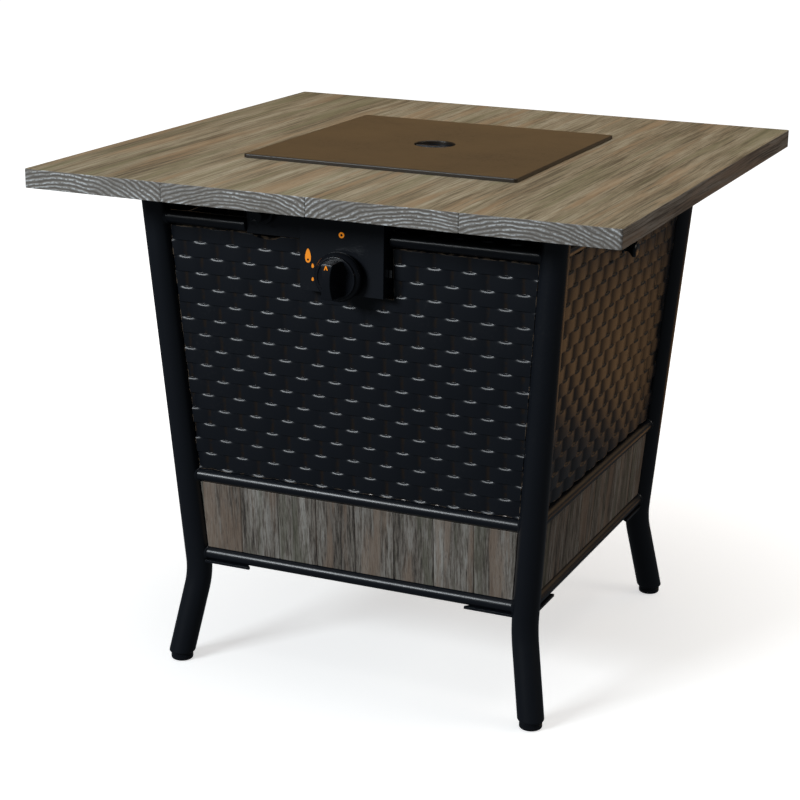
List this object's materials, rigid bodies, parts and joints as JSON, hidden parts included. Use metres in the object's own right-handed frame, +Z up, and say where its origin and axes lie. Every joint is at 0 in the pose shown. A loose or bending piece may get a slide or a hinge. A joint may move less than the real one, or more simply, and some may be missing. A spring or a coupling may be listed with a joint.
{
  "type": "fire pit with grate",
  "caption": "Square gas fire-pit table: wood-look top with a lift-off lid over a burner bowl and grate, leaning tube legs, wicker-look steel panels, drop-down door and knob.",
  "frame": {"origin": "on the floor, under the centre of the tabletop", "axes": "+Z up, the control side faces -Y, the access door faces +X"},
  "size_m": [0.7112, 0.7112, 0.6328],
  "materials": {
    "black_steel": "satin blue-black powder coat",
    "black_wicker": "satin blue-black powder coat on a pressed basket weave",
    "bronze_lid": "satin dark bronze powder coat",
    "weathered_top": "weathered grey-brown wood grain, limed at the ends",
    "weathered_skirt": "weathered grey-brown planks with a vertical grain",
    "black_plastic": "fine-textured black plastic",
    "bare_steel": "plain bright steel",
    "brass": "machined brass",
    "ceramic": "glazed white ceramic",
    "lava": "porous red-brown lava rock"
  },
  "bodies": {
    "frame": {"burner": "bare_steel", "control_panel": "black_steel", "control_valve": "brass", "door_catch": "black_plastic", "fire_bowl": "black_steel", "foot_cap_back_left": "black_plastic", "foot_cap_back_right": "black_plastic", "foot_cap_front_left": "black_plastic", "foot_cap_front_right": "black_plastic", "frame_plate": "black_steel", "gas_inlet": "brass", "gas_orifice": "brass", "gas_supply_tube": "bare_steel", "grate": "black_steel", "gusset_back_left": "black_steel", "gusset_back_right": "black_steel", "gusset_front_left": "black_steel", "gusset_front_right": "black_steel", "hinge_pin_back": "bare_steel", "hinge_pin_front": "bare_steel", "igniter_body": "black_plastic", "lava_rocks": "lava", "leg_back_left": "black_steel", "leg_back_right": "black_steel", "leg_front_left": "black_steel", "leg_front_right": "black_steel", "lower_rail_back": "black_steel", "lower_rail_front": "black_steel", "lower_rail_left": "black_steel", "lower_rail_right": "black_steel", "middle_rail_back": "black_steel", "middle_rail_front": "black_steel", "middle_rail_left": "black_steel", "middle_rail_right": "black_steel", "panel_clip": "bare_steel", "skirt_back": "weathered_skirt", "skirt_front": "weathered_skirt", "skirt_left": "weathered_skirt", "skirt_right": "weathered_skirt", "spark_electrode": "ceramic", "tabletop": "weathered_top", "top_rail_back": "black_steel", "top_rail_front_left": "black_steel", "top_rail_front_right": "black_steel", "top_rail_left": "black_steel", "top_rail_right": "black_steel", "wicker_panel_back": "black_wicker", "wicker_panel_front": "black_wicker", "wicker_panel_left": "black_wicker"},
    "lid": {"lid": "bronze_lid", "lid_cup": "black_steel", "lid_bar": "black_steel"},
    "knob_spring": {"spring_washer": "bare_steel"},
    "knob": {"control_knob": "black_plastic", "valve_stem": "bare_steel"},
    "igniter": {"igniter_button": "black_plastic"},
    "door": {"access_door": "black_wicker", "door_knob": "black_plastic"}
  },
  "joints": [
    {"name": "lid_lift", "type": "slide", "parent": "frame", "child": "lid", "axis": [0, 0, 1], "range_m": [0, 0.15]},
    {"name": "knob_push", "type": "slide", "parent": "frame", "child": "knob_spring", "axis": [0, 1, 0], "range_m": [0, 0.0035], "stiffness_N_per_m": 800, "springref_m": -0.001},
    {"name": "knob_turn", "type": "hinge", "parent": "knob_spring", "child": "knob", "pos_m": [0, -0.27, 0.523], "axis": [0, -1, 0], "range_deg": [0, 105]},
    {"name": "igniter_push", "type": "slide", "parent": "frame", "child": "igniter", "axis": [0, 1, 0], "range_m": [0, 0.003], "stiffness_N_per_m": 1000, "springref_m": -0.001},
    {"name": "door_swing", "type": "hinge", "parent": "frame", "child": "door", "pos_m": [0.22165, 0, 0.26319], "axis": [0, 1, 0], "range_deg": [0, 110]}
  ]
}
